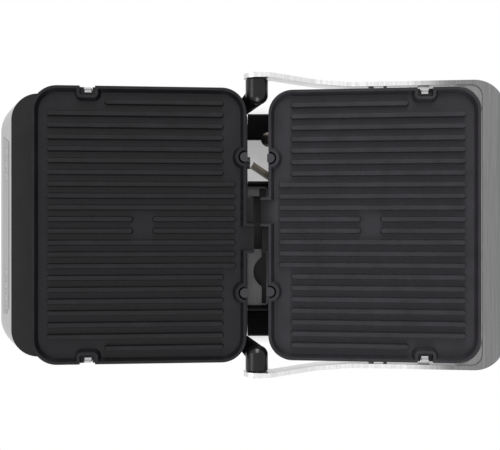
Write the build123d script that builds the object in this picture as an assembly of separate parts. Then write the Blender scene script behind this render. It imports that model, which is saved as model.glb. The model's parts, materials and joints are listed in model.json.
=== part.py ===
from build123d import *
import os
from math import atan2, cos, degrees, pi, radians, sin, sqrt

# Contact grill opened flat: base at the front, lid laid back to the rear.
# Modelled about the hinge axis: X across, Y to the rear, Z up from the table.

# Layout about the hinge axis
HINGE_HEIGHT = 70.3
LOWER_TILT = 4.97
UPPER_TILT = 6.43
PLATE_OFFSET = 7.2
EDGE_GAP = 11.8
FLOAT_ANGLE = 6.0
RUN_CLEAR = 0.05
SEAT_CLEAR = 0.3

# Ribbed plates
PLATE_WIDTH = 290.0
PLATE_DEPTH = 223.0
PLATE_CORNER = 26.0
PLATE_THICK = 13.0
CAVITY_DEPTH = 8.0
CAVITY_TAPER = 18.0
LIP = 3.0
RIB_COUNT = 22
RIB_PITCH = 12.3
RIB_WIDTH = 4.3
RIB_TOP = 3.0
RIB_TAPER = 12.0
RIB_SHORT_START = 75.0
RIB_START = 15.3
RIB_MEDIUM_END = 198.5
RIB_LONG_END = 211.5
SENSOR_GAP_START = 103.0
SENSOR_GAP_END = 125.0
SPOUT_LEFT = -30.0
SPOUT_RIGHT = 1.6
SPOUT_REACH = 9.0
SPOUT_WALL = 3.0
SPOUT_FLOOR = 2.0

# Plate posts at the hinge edge
POST_X = 72.0
POST_Y = 1.5
POST_RADIUS = 5.0
POST_HOLE_RADIUS = 7.0
POST_FLAT = 3.0
POST_TOP = 1.0

# Side latches
LATCH_Y = 166.0
NOTCH_WIDTH = 16.0
NOTCH_DEPTH = 9.5
NOTCH_CORNER = 4.0
LEDGE = 3.0
LATCH_WIDTH = 7.0
LATCH_THICK = 1.6
LATCH_X = 143.0
LATCH_DROP = 8.0
LATCH_HOOK = 3.0
LATCH_TOP = 4.0
LATCH_BARREL = 2.4
LATCH_PIN = 1.2
LATCH_SLOT_DEPTH = 4.0
EAR_THICK = 2.0
EAR_HALF = 3.0
EAR_REACH = 5.2

# Heaters, reflectors and sensors
HEATER_RADIUS = 3.4
HEATER_SIDES = 8
HEATER_HALF_WIDTH = 112.0
HEATER_INNER = 42.0
HEATER_NEAR = 22.0
HEATER_FAR = 200.0
HEATER_BEND = 16.0
PAN_WIDTH = 250.0
PAN_DEPTH = 196.0
PAN_CORNER = 20.0
PAN_SHEET = 0.8
PAN_DROP = 12.0
PAN_FLANGE = 4.0
SENSOR_RADIUS = 5.0
SENSOR_HEIGHT = 8.0

# Base
BASE_WIDTH = 280.0
BASE_CORNER = 28.0
FOOT_CORNER = 36.0
BASE_WALL = 4.0
BASE_BOTTOM = 3.0
BASE_REAR = 10.0
TOE_REACH = 281.0
PANEL_FOOT_REACH = 287.2
PANEL_FOOT_HEIGHT = 24.0
SHOULDER_REACH = 261.2
SHOULDER_HEIGHT = 73.0
PLINTH_REACH = 232.0
PANEL_THICK = 2.0
PANEL_MARGIN = 1.5
PANEL_GROOVE = 1.0
INLAY_WIDTH = 196.0
INLAY_HEIGHT = 30.0
INLAY_THICK = 0.5
INLAY_SLANT = 8.0
COVER_THICK = 3.0
FOOT_RADIUS = 9.0
FOOT_X = 112.0
FRONT_FOOT_REACH = 250.0
REAR_FOOT_Y = 8.0
LEG_WIDTH = 29.0
LEG_REACH = 23.0
LEG_HEIGHT = 11.0

# Push buttons
BUTTON_WIDTH = 9.0
BUTTON_HEIGHT = 7.0
BUTTON_DEPTH = 8.0
BUTTON_TRAVEL = 0.8
BUTTON_CLEAR = 0.25
BUTTON_CUT = 1.2
BUTTON_PROUD = 0.3
LEFT_BUTTONS = 3
LEFT_BUTTON_X = -80.0
RIGHT_BUTTONS = 4
RIGHT_BUTTON_X = 52.0
BUTTON_PITCH = 13.5

# Boards
BOARD_THICK = 1.6
CONTROL_BOARD_WIDTH = 200.0
CONTROL_BOARD_HEIGHT = 28.0
POWER_BOARD_WIDTH = 90.0
POWER_BOARD_DEPTH = 60.0
POWER_BOARD_REACH = 150.0
STANDOFF = 6.0

# Hinge
KNUCKLE_RADIUS = 12.0
KNUCKLE_INNER = 128.0
KNUCKLE_OUTER = 155.2
NECK_WIDTH = 18.0
NECK_DROP = 34.0
HINGE_PIN_RADIUS = 4.0
HINGE_CAP_RADIUS = 9.0
HINGE_CAP_THICK = 1.6

# Drip tray and its guide
GUIDE_LEFT = -46.5
GUIDE_RIGHT = 93.5
GUIDE_WALL = 3.0
GUIDE_FRONT = 65.0
GUIDE_REAR = 14.0
GUIDE_HEIGHT = 25.5
TRAY_CLEAR = 0.5
TRAY_WALL = 2.0
TRAY_HEIGHT = 19.5
GRIP_LEFT = 27.0
GRIP_REAR = 6.0
GRIP_FRONT = 12.0
GRIP_THICK = 3.0
GRIP_ARC = 19.0
TRAY_STEP = 9.0

# Cord gland in the left wall
GLAND_BORE = 3.75
GLAND_RADIUS = 8.0
GLAND_FLANGE = 10.0
GLAND_REACH = 60.0
GLAND_HEIGHT = 30.0
GLAND_PROUD = 2.0

# Handle frame, in the plane of the lid with the hinge axis as its origin
ARM_THICK = 4.7
ARM_HEIGHT = 28.0
ARM_OUTER = 160.4
ARM_FAR = 152.0
ARM_FLARE_END = 100.0
ARM_STRAIGHT = 14.0
ARM_DROP = 8.0
ARM_DROP_START = 16.0
ARM_DROP_END = 62.0
BAR_INNER = 236.5
BAR_OUTER = 259.5
BAR_CORNER = 32.0
BAR_INNER_CORNER = 12.0
BAR_ROUND = 9.0

# Lid
LID_WIDTH = 280.0
LID_INSET = 5.0
LID_CORNER = 24.0
LID_WALL = 3.0
LID_SPLIT = 29.0
LID_NEAR_DEPTH = 37.0
LID_FAR_DEPTH = 51.0
LID_TAPER = 10.0
LID_SHEET = 1.2
LID_ROUND = 7.0
PIVOT_Y = 110.0
PIVOT_DEPTH = 22.0
PIVOT_RADIUS = 3.0
PIVOT_BOSS = 6.5
PIVOT_BOSS_DEPTH = 10.0
PIVOT_HEAD = 6.0
PIVOT_HEAD_THICK = 1.5
STOP_RADIUS = 2.0
STOP_OFFSET = 15.0

# Wire conduit
SPRING_RADIUS = 3.6
SPRING_WIRE = 0.9
SPRING_PITCH = 2.5
SPRING_SIDES = 4
BUSH_RADIUS = 6.5
BUSH_THICK = 3.0
CONDUIT_BASE_X = -68.0
CONDUIT_LID_X = -50.0
CONDUIT_HEIGHT = 46.0
WIRES_RADIUS = 2.3
ELBOW_X = -92.0
ELBOW_RADIUS = 4.2
ELBOW_SIDES = 10
ELBOW_REACH = 8.0
ELBOW_BEND = 6.0
ELBOW_DROP = 5.0

# Screws
SCREW_HEAD = 3.5
SCREW_SIDES = 12
SCREW_HEAD_THICK = 2.0
SCREW_SHANK = 1.6
SCREW_LENGTH = 8.0

# Derived places
DECK_DROP = PLATE_THICK + SEAT_CLEAR + PAN_SHEET + 0.2
AXIS = Pos(0, 0, HINGE_HEIGHT)
LOWER_SEAT = AXIS * Rot(-LOWER_TILT, 0, 0) * Rot(0, 0, 180) * Pos(0, EDGE_GAP, PLATE_OFFSET)
ARM_SEAT = AXIS * Rot(UPPER_TILT, 0, 0)
UPPER_SEAT = ARM_SEAT * Pos(0, EDGE_GAP, -PLATE_OFFSET)
LID_LENGTH = PLATE_DEPTH - 2 * LID_INSET
PIVOT_ARM_Y = EDGE_GAP + PIVOT_Y
PIVOT_ARM_Z = -PLATE_OFFSET - PIVOT_DEPTH
ARM_INNER_FAR = ARM_FAR - ARM_THICK
LATCH_Z = -PLATE_THICK - LATCH_DROP
LATCH_WALL = BASE_WIDTH / 2
FRONT_WALL = PANEL_THICK + BASE_WALL + 1
PANEL_RISE = SHOULDER_HEIGHT - PANEL_FOOT_HEIGHT
PANEL_RUN = PANEL_FOOT_REACH - SHOULDER_REACH
PANEL_LENGTH = sqrt(PANEL_RISE**2 + PANEL_RUN**2)
PANEL_PLANE = Plane(
    origin=(0, -(PANEL_FOOT_REACH + SHOULDER_REACH) / 2, (PANEL_FOOT_HEIGHT + SHOULDER_HEIGHT) / 2),
    x_dir=(1, 0, 0),
    z_dir=(0, -PANEL_RISE, PANEL_RUN),
)
PANEL = PANEL_PLANE.location
SIDES = (("left", -1), ("right", 1))


def block(x0, x1, y0, y1, z0, z1):
    """A straight block between two corners."""
    size = Box(abs(x1 - x0), abs(y1 - y0), abs(z1 - z0))
    return Pos((x0 + x1) / 2, (y0 + y1) / 2, (z0 + z1) / 2) * size


def rod(radius, x0, x1, y, z):
    """A round bar along X between x0 and x1."""
    return Pos((x0 + x1) / 2, y, z) * Rot(0, 90, 0) * Cylinder(radius, abs(x1 - x0))


def chamfered(width, height, cut):
    """A rectangle with its corners cut off, for the ends of ribs and caps of keys."""
    shape = Rectangle(width, height)
    return chamfer(shape.vertices(), cut)


def slab(width, y0, y1, corner, z):
    """A rounded rectangle at height z, symmetric across X."""
    return Pos(0, (y0 + y1) / 2, z) * RectangleRounded(width, y1 - y0, corner)


# Ribbed plate, the same part in the base and turned about in the lid


def plate_outline():
    outline = Pos(0, PLATE_DEPTH / 2) * RectangleRounded(PLATE_WIDTH, PLATE_DEPTH, PLATE_CORNER)
    for side in (-1, 1):
        outline -= Pos(side * POST_X, POST_Y) * Circle(POST_HOLE_RADIUS)
    return outline


def notches(depth, width):
    """Rectangles that reach in from both side edges at the latches."""
    cuts = Sketch()
    for side in (-1, 1):
        cuts += Pos(side * PLATE_WIDTH / 2, LATCH_Y) * RectangleRounded(2 * depth, width, NOTCH_CORNER / 2)
    return cuts


def rib_spans(index):
    """Where rib number index runs, measured back from the far edge."""
    from_side = min(index, RIB_COUNT - 1 - index)
    if from_side == 0:
        return [(RIB_SHORT_START, RIB_MEDIUM_END)]
    if from_side < 7:
        return [(RIB_START, RIB_MEDIUM_END)]
    if from_side < 10:
        return [(RIB_START, RIB_LONG_END)]
    return [(RIB_START, SENSOR_GAP_START), (SENSOR_GAP_END, RIB_LONG_END)]


def ribs():
    made = []
    for index in range(RIB_COUNT):
        x = (index - (RIB_COUNT - 1) / 2) * RIB_PITCH
        for start, end in rib_spans(index):
            middle = PLATE_DEPTH - (start + end) / 2
            top = Pos(x, middle, -RIB_TOP) * chamfered(RIB_WIDTH, end - start, RIB_WIDTH / 3)
            made.append(extrude(top, amount=RIB_TOP - CAVITY_DEPTH - 0.5, taper=-RIB_TAPER))
    return made


def spout():
    """The drain lip over the hinge edge, and the channel cut through it."""
    body = block(SPOUT_LEFT, SPOUT_RIGHT, -SPOUT_REACH, LIP, -PLATE_THICK, 0)
    edges = body.edges().filter_by(Axis.Z).sort_by(Axis.Y)[:2]
    body = fillet(edges, SPOUT_WALL)
    side = Plane(origin=(SPOUT_LEFT + SPOUT_WALL, 0, 0), x_dir=(0, 1, 0), z_dir=(1, 0, 0))
    channel = make_face(
        Polyline(
            (-SPOUT_REACH, 1),
            (-SPOUT_REACH, SPOUT_FLOOR - PLATE_THICK),
            (3 * LIP, -CAVITY_DEPTH),
            (3 * LIP, 1),
            close=True,
        )
    )
    cut = extrude(side * channel, amount=SPOUT_RIGHT - SPOUT_LEFT - 2 * SPOUT_WALL)
    return body, cut


def plate():
    outline = plate_outline()
    body = extrude(outline, amount=-PLATE_THICK)
    inner = offset(outline - notches(NOTCH_DEPTH, NOTCH_WIDTH), amount=-LIP, kind=Kind.INTERSECTION)
    body -= extrude(inner, amount=-CAVITY_DEPTH, taper=CAVITY_TAPER)
    body = body.fuse(*ribs())
    body -= extrude(notches(NOTCH_DEPTH, NOTCH_WIDTH), amount=LEDGE - PLATE_THICK)
    body -= extrude(notches(LATCH_SLOT_DEPTH, LATCH_WIDTH + 2), amount=-PLATE_THICK)
    lip, channel = spout()
    return body + lip - channel


def plate_posts():
    """D shaped posts that the hinge edge of a plate hooks under."""
    post = Circle(POST_RADIUS) - Pos(0, -POST_FLAT - POST_RADIUS) * Rectangle(2 * POST_RADIUS, 2 * POST_RADIUS)
    made = []
    for side in (-1, 1):
        made.append(extrude(Pos(side * POST_X, POST_Y, -DECK_DROP) * post, amount=DECK_DROP - POST_TOP))
    return Compound(made)


# Heater, reflector and sensor under a plate


def heater():
    z = -PLATE_THICK - HEATER_RADIUS - 0.1
    half = [
        (HEATER_INNER / 2, HEATER_NEAR),
        (HEATER_HALF_WIDTH, HEATER_NEAR),
        (HEATER_HALF_WIDTH, HEATER_FAR),
    ]
    points = half + [(-x, y) for x, y in reversed(half)]
    path = FilletPolyline(*[(x, y, z) for x, y in points], radius=HEATER_BEND)
    start = Plane(origin=path @ 0, z_dir=path % 0)
    return sweep(start * RegularPolygon(HEATER_RADIUS, HEATER_SIDES), path=path)


def reflector():
    middle = PLATE_DEPTH / 2
    top = -PLATE_THICK - SEAT_CLEAR
    low = -PLATE_THICK - PAN_DROP
    flange = slab(PAN_WIDTH + 2 * PAN_FLANGE, middle - PAN_DEPTH / 2 - PAN_FLANGE,
                  middle + PAN_DEPTH / 2 + PAN_FLANGE, PAN_CORNER + PAN_FLANGE, top)
    pan = extrude(flange, amount=-PAN_SHEET)
    outer = slab(PAN_WIDTH, middle - PAN_DEPTH / 2, middle + PAN_DEPTH / 2, PAN_CORNER, low)
    inner = slab(PAN_WIDTH - 2 * PAN_SHEET, middle - PAN_DEPTH / 2 + PAN_SHEET,
                 middle + PAN_DEPTH / 2 - PAN_SHEET, PAN_CORNER - PAN_SHEET, low + PAN_SHEET)
    pan += extrude(outer, amount=top - low)
    return pan - extrude(inner, amount=top - low)


def sensor():
    middle = PLATE_DEPTH - (SENSOR_GAP_START + SENSOR_GAP_END) / 2
    return Pos(0, middle, -PLATE_THICK - SENSOR_HEIGHT / 2) * Cylinder(SENSOR_RADIUS, SENSOR_HEIGHT)


def pan_opening(depth):
    """The hole in a housing deck that a reflector pan hangs through."""
    middle = PLATE_DEPTH / 2
    hole = slab(PAN_WIDTH + 1, middle - PAN_DEPTH / 2 - 0.5, middle + PAN_DEPTH / 2 + 0.5,
                PAN_CORNER + 0.5, -DECK_DROP + 1)
    return extrude(hole, amount=-depth - 1)


# Plate latches


def latch(side):
    """A sprung clip that hooks over the plate's ledge and turns on a pin below it."""
    plane = Plane(origin=(0, LATCH_Y, 0), x_dir=(1, 0, 0), z_dir=(0, -1, 0))
    foot = LATCH_Z
    stem = Pos(LATCH_X, (foot - LATCH_TOP) / 2) * Rectangle(LATCH_THICK, -LATCH_TOP - foot)
    hook_z = LEDGE - PLATE_THICK + SEAT_CLEAR + LATCH_THICK / 2
    hook = Pos(LATCH_X - LATCH_HOOK / 2, hook_z) * Rectangle(LATCH_HOOK + LATCH_THICK, LATCH_THICK)
    barrel = Pos(LATCH_X, foot) * Circle(LATCH_BARREL)
    profile = stem + hook + barrel - Pos(LATCH_X, foot) * Circle(LATCH_PIN + RUN_CLEAR)
    clip = extrude(plane * profile, amount=LATCH_WIDTH / 2, both=True)
    return clip if side > 0 else mirror(clip, about=Plane.YZ)


def latch_ears():
    """Pairs of ears on a housing wall, either side of each latch."""
    ears = []
    for side in (-1, 1):
        for end in (-1, 1):
            near = LATCH_Y + end * (LATCH_WIDTH / 2 + SEAT_CLEAR)
            ears.append(block(side * LATCH_WALL, side * (LATCH_WALL + EAR_REACH), near, near + end * EAR_THICK,
                              LATCH_Z - EAR_HALF, LATCH_Z + EAR_HALF))
    return ears


def latch_pins():
    length = LATCH_WIDTH + 2 * SEAT_CLEAR
    pins = []
    for side in (-1, 1):
        pins.append(Pos(side * LATCH_X, LATCH_Y, LATCH_Z) * Rot(90, 0, 0) * Cylinder(LATCH_PIN, length))
    return Compound(pins)


# Base


def wedge(inset, front_inset):
    """The base below its shoulder, with the sloping front and its round corners."""
    levels = (
        (BASE_BOTTOM, TOE_REACH, FOOT_CORNER),
        (PANEL_FOOT_HEIGHT, PANEL_FOOT_REACH, FOOT_CORNER),
        (SHOULDER_HEIGHT, SHOULDER_REACH, BASE_CORNER),
    )
    rings = []
    for z, reach, corner in levels:
        rings.append(slab(BASE_WIDTH - 2 * inset, front_inset - reach, -BASE_REAR - inset, corner - inset, z))
    return loft(rings, ruled=True)


def base_body(inset, front_inset, deck):
    """The base's outer form, or its hollow when inset, up to the deck under the plate."""
    plinth = slab(BASE_WIDTH - 2 * inset, inset - PLINTH_REACH, -BASE_REAR - inset, BASE_CORNER - inset, BASE_BOTTOM)
    body = wedge(inset, front_inset) + extrude(plinth, amount=2 * SHOULDER_HEIGHT - HINGE_HEIGHT)
    over = block(-BASE_WIDTH, BASE_WIDTH, -EDGE_GAP - PLATE_DEPTH, 2 * PLATE_DEPTH, -deck, HINGE_HEIGHT)
    roof = block(-BASE_WIDTH, BASE_WIDTH, -2 * PLATE_DEPTH, inset - PLINTH_REACH,
                 SHOULDER_HEIGHT - inset, 2 * SHOULDER_HEIGHT)
    return body - LOWER_SEAT * over - roof


def panel_band(margin):
    """The height band of the base's front that the panel wraps, back to the end of the corners."""
    return block(-BASE_WIDTH, BASE_WIDTH, -2 * PLATE_DEPTH, BASE_CORNER - SHOULDER_REACH + margin,
                 BASE_BOTTOM + 2 * PANEL_MARGIN - margin, SHOULDER_HEIGHT - PANEL_MARGIN + margin)


def button_places():
    places = [LEFT_BUTTON_X + n * BUTTON_PITCH for n in range(LEFT_BUTTONS)]
    return places + [RIGHT_BUTTON_X + n * BUTTON_PITCH for n in range(RIGHT_BUTTONS)]


def button_holes():
    holes = Sketch()
    for x in button_places():
        holes += Pos(x, 0) * chamfered(BUTTON_WIDTH, BUTTON_HEIGHT, BUTTON_CUT)
    return PANEL * extrude(holes, amount=2 * FRONT_WALL, both=True)


def base_shell():
    shell = base_body(0, 0, DECK_DROP) - base_body(BASE_WALL, FRONT_WALL, DECK_DROP + BASE_WALL)
    shell -= panel_band(PANEL_GROOVE) - wedge(PANEL_THICK, PANEL_THICK)
    shell -= LOWER_SEAT * pan_opening(2 * BASE_WALL)
    shell -= button_holes()
    shell -= block(GUIDE_LEFT, GUIDE_RIGHT, -GUIDE_FRONT, 0, BASE_BOTTOM, BASE_BOTTOM + GUIDE_HEIGHT)
    shell -= rod(GLAND_RADIUS, -BASE_WIDTH / 2 - 1, -BASE_WIDTH / 2 + BASE_WALL + 1, -GLAND_REACH, GLAND_HEIGHT)
    return shell.fuse(*[LOWER_SEAT * ear for ear in latch_ears()])


def base_bottom():
    inset = BASE_WALL
    cover = extrude(slab(BASE_WIDTH - 2 * inset, FRONT_WALL - TOE_REACH, -BASE_REAR - inset,
                         FOOT_CORNER - inset, BASE_BOTTOM), amount=COVER_THICK)
    cover -= block(GUIDE_LEFT, GUIDE_RIGHT, -GUIDE_FRONT, 0, 0, 2 * COVER_THICK)
    for x, y in screw_places():
        head = RegularPolygon(SCREW_HEAD + 0.2, SCREW_SIDES)
        cover -= extrude(Pos(x, y, BASE_BOTTOM) * head, amount=SCREW_HEAD_THICK)
        cover -= extrude(Pos(x, y, BASE_BOTTOM) * RegularPolygon(SCREW_SHANK, SCREW_SIDES), amount=COVER_THICK)
    for x, y in standoff_places():
        cover += Pos(x, y, BASE_BOTTOM + COVER_THICK + STANDOFF / 2) * Box(STANDOFF, STANDOFF, STANDOFF)
    return cover


def screw_places():
    return [(sx * 100, -y) for sx in (-1, 1) for y in (90, 220)]


def standoff_places():
    half_x = POWER_BOARD_WIDTH / 2 - 5
    half_y = POWER_BOARD_DEPTH / 2 - 5
    return [(sx * half_x, -POWER_BOARD_REACH + sy * half_y) for sx in (-1, 1) for sy in (-1, 1)]


def screws(places, z):
    made = []
    for x, y in places:
        head = extrude(Pos(x, y, z) * RegularPolygon(SCREW_HEAD, SCREW_SIDES), amount=SCREW_HEAD_THICK)
        made.append(head + extrude(Pos(x, y, z) * RegularPolygon(SCREW_SHANK, SCREW_SIDES), amount=SCREW_LENGTH))
    return Compound(made)


def power_board():
    z = BASE_BOTTOM + COVER_THICK + STANDOFF
    board = block(-POWER_BOARD_WIDTH / 2, POWER_BOARD_WIDTH / 2, -POWER_BOARD_REACH - POWER_BOARD_DEPTH / 2,
                  -POWER_BOARD_REACH + POWER_BOARD_DEPTH / 2, z, z + BOARD_THICK)
    relay = block(-35, -15, -POWER_BOARD_REACH - 20, -POWER_BOARD_REACH - 4, z, z + 16)
    choke = Pos(20, -POWER_BOARD_REACH, z + 7) * Cylinder(9, 14)
    terminals = block(-35, 10, -POWER_BOARD_REACH + 12, -POWER_BOARD_REACH + 24, z, z + 12)
    return board + relay + choke + terminals


def front_panel():
    """The metal skin over the sloping front, wrapped round both corners."""
    skin = wedge(0, 0) & panel_band(0)
    return skin - wedge(PANEL_THICK, PANEL_THICK) - button_holes()


def control_inlay():
    half = INLAY_WIDTH / 2
    high = INLAY_HEIGHT / 2
    shape = make_face(Polyline((-half, -high), (half, -high), (half - INLAY_SLANT, high),
                               (INLAY_SLANT - half, high), close=True))
    return PANEL * extrude(shape, amount=INLAY_THICK) - button_holes()


def button(x):
    cap = chamfered(BUTTON_WIDTH - 2 * BUTTON_CLEAR, BUTTON_HEIGHT - 2 * BUTTON_CLEAR, BUTTON_CUT)
    body = extrude(Pos(x, 0, INLAY_THICK + BUTTON_PROUD) * cap, amount=-BUTTON_DEPTH)
    crown = body.faces().sort_by(Axis.Z)[-1].edges()
    return PANEL * chamfer(crown, BUTTON_PROUD)


def control_board():
    back = FRONT_WALL + 3
    half = CONTROL_BOARD_WIDTH / 2
    high = CONTROL_BOARD_HEIGHT / 2
    board = block(-half, half, -high, high, -back - BOARD_THICK, -back)
    key_top = INLAY_THICK + BUTTON_PROUD - BUTTON_DEPTH - BUTTON_TRAVEL - 0.1
    for x in button_places():
        board += block(x - 2.5, x + 2.5, -2.5, 2.5, -back, key_top)
    return PANEL * board


def rubber_feet():
    feet = []
    for x in (-FOOT_X, FOOT_X):
        for y in (-FRONT_FOOT_REACH, REAR_FOOT_Y):
            foot = Pos(x, y, BASE_BOTTOM / 2) * Cylinder(FOOT_RADIUS, BASE_BOTTOM)
            feet.append(chamfer(foot.edges().sort_by(Axis.Z)[0], 1))
    return Compound(feet)


def rear_leg(side):
    outline = Pos(side * FOOT_X, (LEG_REACH - BASE_REAR) / 2) * Rectangle(LEG_WIDTH, LEG_REACH + BASE_REAR)
    outline = fillet(outline.vertices().sort_by(Axis.Y)[2:], 6)
    leg = extrude(Pos(0, 0, BASE_BOTTOM) * outline, amount=LEG_HEIGHT)
    top = leg.faces().sort_by(Axis.Z)[-1]
    return chamfer(top.edges().sort_by(Axis.Y)[-1], 2)


# Hinge


def knuckle(side):
    """The barrel of the hinge with a neck down to the base's rear corner."""
    barrel = rod(KNUCKLE_RADIUS, KNUCKLE_INNER, KNUCKLE_OUTER, 0, HINGE_HEIGHT)
    for cut in (KNUCKLE_RADIUS / 2, KNUCKLE_RADIUS / 6):
        inner = barrel.edges().filter_by(GeomType.CIRCLE).sort_by(Axis.X)[0 if cut > 2 else 1]
        barrel = chamfer(inner, cut)
    side_plane = Plane(origin=(KNUCKLE_INNER - NECK_WIDTH / 3, 0, 0), x_dir=(0, 1, 0), z_dir=(1, 0, 0))
    profile = make_face(
        Polyline(
            (-BASE_REAR, HINGE_HEIGHT - NECK_DROP),
            (KNUCKLE_RADIUS / 2, HINGE_HEIGHT - KNUCKLE_RADIUS / 2),
            (0, HINGE_HEIGHT + KNUCKLE_RADIUS / 3),
            (-BASE_REAR, HINGE_HEIGHT - PLATE_OFFSET - 1),
            close=True,
        )
    )
    neck = extrude(side_plane * profile, amount=NECK_WIDTH)
    bore = rod(HINGE_PIN_RADIUS + RUN_CLEAR, KNUCKLE_INNER + 8, 2 * KNUCKLE_OUTER, 0, HINGE_HEIGHT)
    made = barrel + neck - bore
    return made if side > 0 else mirror(made, about=Plane.YZ)


def hinge_pins():
    pins = []
    for side in (-1, 1):
        end = ARM_OUTER + 0.1
        pin = rod(HINGE_PIN_RADIUS, side * (KNUCKLE_INNER + 9), side * end, 0, HINGE_HEIGHT)
        cap = rod(HINGE_CAP_RADIUS, side * end, side * (end + HINGE_CAP_THICK), 0, HINGE_HEIGHT)
        outer = cap.edges().filter_by(GeomType.CIRCLE).sort_by(lambda edge: abs(edge.center().X))[-1]
        pins.append(pin + chamfer(outer, 0.8))
    return Compound(pins)


# Drip tray


def tray_guide():
    z0 = BASE_BOTTOM
    guide = block(GUIDE_LEFT, GUIDE_RIGHT, -GUIDE_FRONT, GUIDE_REAR, z0, z0 + GUIDE_HEIGHT)
    return guide - block(GUIDE_LEFT + GUIDE_WALL, GUIDE_RIGHT - GUIDE_WALL, GUIDE_WALL - GUIDE_FRONT,
                         GUIDE_REAR + 1, z0 + GUIDE_WALL, z0 + GUIDE_HEIGHT + 1)


def drip_tray():
    left = GUIDE_LEFT + GUIDE_WALL + TRAY_CLEAR
    right = GUIDE_RIGHT - GUIDE_WALL - TRAY_CLEAR
    front = GUIDE_WALL + TRAY_CLEAR - GUIDE_FRONT
    rear = GUIDE_REAR - 1
    low = BASE_BOTTOM + GUIDE_WALL + SEAT_CLEAR
    high = low + TRAY_HEIGHT
    tub = block(left, right, front, rear, low, high)
    tub = fillet(tub.edges().filter_by(Axis.Z), 4)
    hollow = block(left + TRAY_WALL, right - TRAY_WALL, front + TRAY_WALL, rear - TRAY_WALL, low + TRAY_WALL, high + 1)
    tub -= fillet(hollow.edges().filter_by(Axis.Z), 2)
    tub += block(left + TRAY_WALL, left + TRAY_WALL + TRAY_STEP, front + TRAY_WALL, rear - TRAY_WALL,
                 low + TRAY_WALL, (low + high) / 2)
    deck = block(GRIP_LEFT, right - TRAY_WALL, -GRIP_FRONT, GRIP_REAR, high - GRIP_THICK, high)
    arc_x = (GRIP_LEFT + right) / 2 - 6
    deck -= Pos(arc_x, GRIP_REAR + GRIP_ARC / 2, high) * Cylinder(GRIP_ARC, 3 * GRIP_THICK)
    web = block(GRIP_LEFT, GRIP_LEFT + TRAY_WALL, -GRIP_FRONT, GRIP_REAR, low + TRAY_WALL, high)
    return tub + deck + web


def cord_gland():
    wall = -BASE_WIDTH / 2
    gland = rod(GLAND_RADIUS - 0.1, wall, wall + BASE_WALL + GLAND_PROUD, -GLAND_REACH, GLAND_HEIGHT)
    gland += rod(GLAND_FLANGE, wall, wall - GLAND_PROUD, -GLAND_REACH, GLAND_HEIGHT)
    return gland - rod(GLAND_BORE, wall - 9, wall + 9, -GLAND_REACH, GLAND_HEIGHT)


# Handle frame


def handle_frame():
    """A U in plan, cut to the side view of its dropped arms and rounded bar."""
    half_width = [
        (ARM_OUTER, -ARM_HEIGHT),
        (ARM_OUTER, ARM_STRAIGHT),
        (ARM_FAR, ARM_FLARE_END),
        (ARM_FAR, BAR_OUTER),
    ]
    outer = make_face(Polyline(*half_width, *[(-x, y) for x, y in reversed(half_width)], close=True))
    corners = outer.vertices().sort_by(Axis.Y)[-2:]
    outer = fillet(corners, BAR_CORNER)
    half_gap = [
        (ARM_OUTER - ARM_THICK, -2 * ARM_HEIGHT),
        (ARM_OUTER - ARM_THICK, ARM_STRAIGHT),
        (ARM_FAR - ARM_THICK, ARM_FLARE_END),
        (ARM_FAR - ARM_THICK, BAR_INNER),
    ]
    gap = make_face(Polyline(*half_gap, *[(-x, y) for x, y in reversed(half_gap)], close=True))
    corners = gap.vertices().sort_by(Axis.Y)[-2:]
    gap = fillet(corners, BAR_INNER_CORNER)
    plan = extrude(outer - gap, amount=2 * ARM_HEIGHT, both=True)
    top = ARM_HEIGHT / 2
    low_top = -ARM_DROP
    side_plane = Plane(origin=(-2 * ARM_OUTER, 0, 0), x_dir=(0, 1, 0), z_dir=(1, 0, 0))
    side = make_face(
        Polyline(
            (0, top),
            (ARM_DROP_START, top),
            (ARM_DROP_END, low_top),
            (BAR_OUTER, low_top),
            (BAR_OUTER, low_top - ARM_HEIGHT),
            (ARM_DROP_END, low_top - ARM_HEIGHT),
            (ARM_DROP_START, -top),
            (0, -top),
            close=True,
        )
    )
    side = fillet(side.vertices().sort_by(Axis.X)[-2:], BAR_ROUND)
    side += Circle(top)
    frame = plan & extrude(side_plane * side, amount=4 * ARM_OUTER)
    for sign in (-1, 1):
        frame -= rod(HINGE_PIN_RADIUS + RUN_CLEAR, sign * ARM_FAR / 2, sign * 2 * ARM_OUTER, 0, 0)
        frame -= rod(PIVOT_RADIUS, sign * ARM_FAR / 2, sign * 2 * ARM_OUTER, PIVOT_ARM_Y, PIVOT_ARM_Z)
        frame -= stop_slot(sign)
    return ARM_SEAT * frame


def stop_slot(sign):
    """The slot in an arm that a float stop pin plays in."""
    rise = STOP_OFFSET * sin(radians(FLOAT_ANGLE))
    y = PIVOT_ARM_Y + STOP_OFFSET
    across = STOP_RADIUS + SEAT_CLEAR
    low = PIVOT_ARM_Z - across
    high = PIVOT_ARM_Z + rise + across
    return block(sign * ARM_FAR / 2, sign * 2 * ARM_OUTER, y - across, y + across, low, high)


def pivot_pins():
    pins = []
    for side in (-1, 1):
        inner = LID_WIDTH / 2 - PIVOT_BOSS_DEPTH + 1
        pin = rod(PIVOT_RADIUS, side * inner, side * ARM_FAR, PIVOT_ARM_Y, PIVOT_ARM_Z)
        head = rod(PIVOT_HEAD, side * ARM_FAR, side * (ARM_FAR + PIVOT_HEAD_THICK), PIVOT_ARM_Y, PIVOT_ARM_Z)
        pins.append(pin + head)
    return ARM_SEAT * Compound(pins)


# Lid, in the frame of its plate


def lid_ring(inset, top, bottom):
    ring = slab(LID_WIDTH - 2 * inset, LID_INSET + inset, PLATE_DEPTH - LID_INSET - inset,
                LID_CORNER - inset, -top)
    return extrude(ring, amount=top - bottom)


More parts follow.
